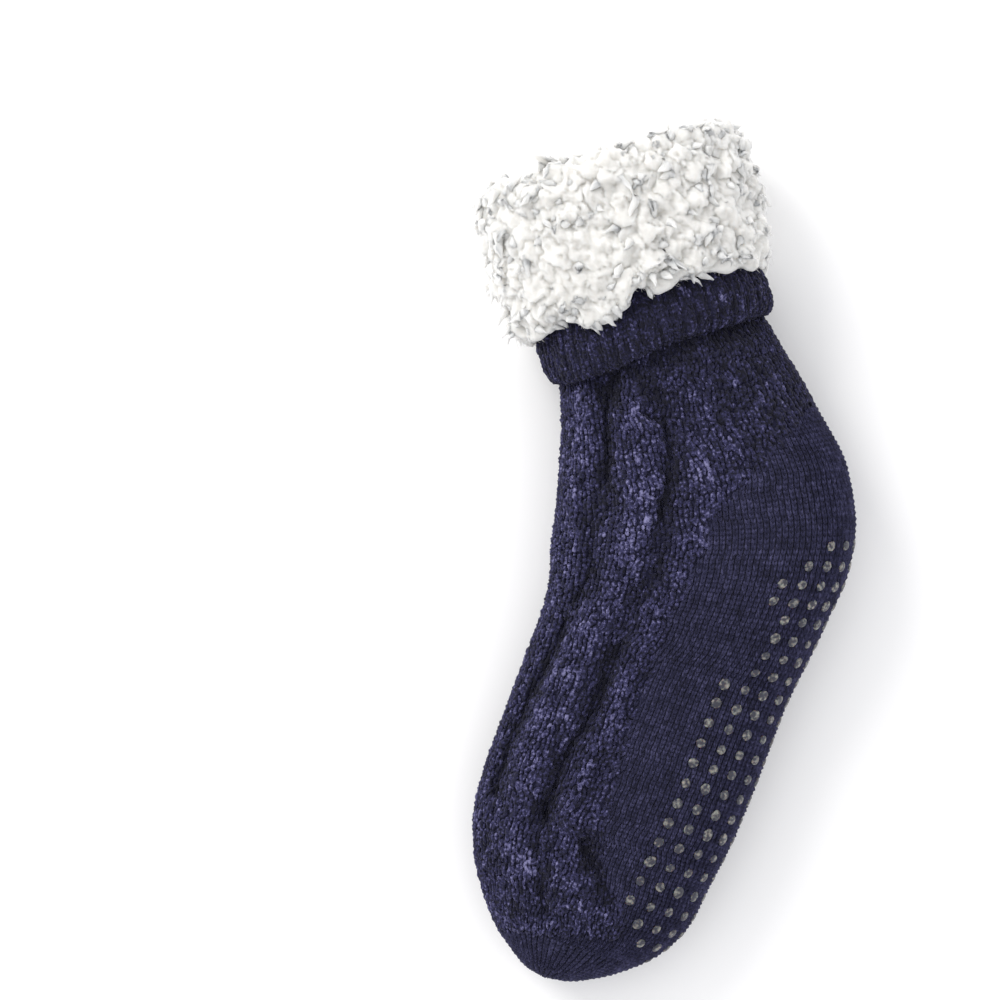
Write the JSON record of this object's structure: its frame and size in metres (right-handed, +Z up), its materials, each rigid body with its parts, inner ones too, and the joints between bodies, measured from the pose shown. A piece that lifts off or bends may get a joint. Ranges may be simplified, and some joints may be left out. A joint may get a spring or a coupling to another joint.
{
  "type": "slipper sock",
  "caption": "Knitted slipper sock lying on its side, cabled over the instep, with its ribbed top turned down to show a deep pile lining.",
  "frame": {"origin": "on the floor under the middle of the whole sock as it lies on its side", "axes": "+Z up from the floor, +Y from the toe to the turned cuff, +X from the instep to the sole and heel"},
  "size_m": [0.179, 0.399, 0.0819],
  "materials": {
    "chenille_knit": "soft chenille knit in dark navy, plain on the sole side and cabled over the instep",
    "fleece_pile": "deep curled white pile"
  },
  "bodies": {
    "root": {"knit_body": "chenille_knit", "pile_cuff": "fleece_pile"}
  },
  "joints": []
}
